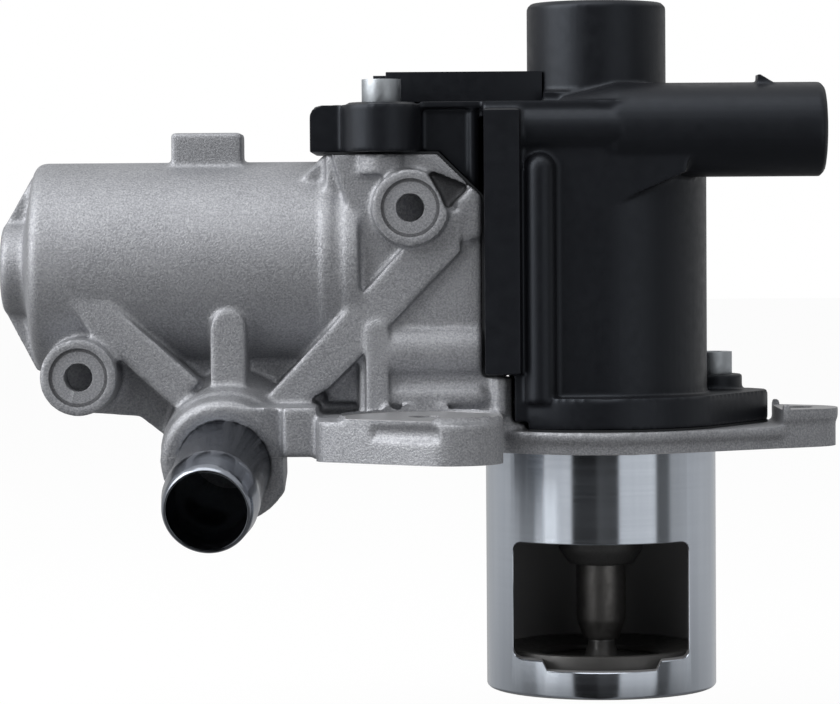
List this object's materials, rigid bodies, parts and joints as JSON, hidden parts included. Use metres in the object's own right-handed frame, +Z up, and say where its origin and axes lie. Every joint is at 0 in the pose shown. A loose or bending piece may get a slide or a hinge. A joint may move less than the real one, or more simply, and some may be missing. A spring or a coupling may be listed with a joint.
{
  "type": "exhaust gas recirculation valve",
  "caption": "Motor-driven EGR valve: cast housing, plug-in steel tube with a poppet valve, geared rack drive, coolant hose pipe, moulded cover and plug socket.",
  "frame": {"origin": "valve axis at the housing's mounting face", "axes": "+Z up along the valve stem away from the steel tube, +X towards the connector's mouth, -Y towards the coolant pipe and the two front bosses"},
  "size_m": [0.1853, 0.0982, 0.1514],
  "materials": {
    "cast_aluminium": "as-cast, fine sand grain",
    "turned_steel": "turned bright",
    "sintered_steel": "sintered, matte",
    "heat_steel": "ground, heat-resistant",
    "pipe_steel": "smooth, dark",
    "zinc_steel": "zinc plated",
    "black_plastic": "moulded, satin",
    "grey_plastic": "moulded",
    "gear_plastic": "moulded, natural",
    "ferrite": "sintered, dark grey",
    "copper": "bare copper",
    "brass_pinion": "machined",
    "circuit_board": "lacquered",
    "seal_rubber": "moulded"
  },
  "bodies": {
    "housing_body": {"housing": "cast_aluminium", "valve_tube": "turned_steel", "seat_ring": "heat_steel", "stem_guide": "sintered_steel", "stem_seal": "seal_rubber", "coolant_pipe": "pipe_steel", "motor_can": "zinc_steel", "motor_end_cap": "grey_plastic", "motor_magnets": "ferrite", "wave_spring": "zinc_steel", "motor_plate": "zinc_steel", "plate_screws": "zinc_steel", "motor_terminals": "copper", "idler_pin": "turned_steel", "bearing_carrier": "cast_aluminium", "carrier_screws": "zinc_steel", "bearing_outer_rings": "turned_steel", "bearing_balls": "turned_steel", "cover": "black_plastic", "cover_lid": "black_plastic", "cover_gasket": "seal_rubber", "cover_screws": "zinc_steel", "compression_sleeves": "zinc_steel", "sensor_board": "circuit_board", "connector_pins": "zinc_steel", "return_spring": "turned_steel"},
    "motor_rotor": {"motor_shaft": "turned_steel", "armature": "sintered_steel", "windings": "copper", "commutator": "copper", "motor_pinion": "brass_pinion"},
    "idler": {"idler_gear": "gear_plastic"},
    "output": {"output_shaft": "turned_steel", "sector_gear": "gear_plastic", "drive_pinion": "turned_steel", "bearing_inner_rings": "turned_steel", "shaft_clip": "sintered_steel"},
    "valve_group": {"valve": "heat_steel", "rack": "gear_plastic", "spring_retainer": "zinc_steel", "stem_clip": "sintered_steel", "magnet_holder": "grey_plastic", "sensor_magnet": "ferrite"}
  },
  "joints": [
    {"name": "valve_lift", "type": "slide", "parent": "housing_body", "child": "valve_group", "axis": [0, 0, -1], "range_m": [0, 0.007], "stiffness_N_per_m": 1200, "springref_m": -0.012, "deforming": ["return_spring"]},
    {"name": "output_turn", "type": "hinge", "parent": "housing_body", "child": "output", "pos_m": [-0.02, 0.0115, 0.0411], "axis": [1, 0, 0], "range_deg": [0, 67.25]},
    {"name": "idler_turn", "type": "hinge", "parent": "housing_body", "child": "idler", "pos_m": [-0.05, -0.00115, 0.05786], "axis": [1, 0, 0], "range_deg": [-168.11, 0]},
    {"name": "motor_spin", "type": "hinge", "parent": "housing_body", "child": "motor_rotor", "pos_m": [-0.09, 0, 0.0403], "axis": [1, 0, 0], "range_deg": [0, 448.13]}
  ],
  "couplings": [
    {"joint": "output_turn", "follows": "valve_lift", "rad_per_m": 166.67},
    {"joint": "idler_turn", "follows": "valve_lift", "rad_per_m": -416.67},
    {"joint": "motor_spin", "follows": "valve_lift", "rad_per_m": 1111.1}
  ]
}
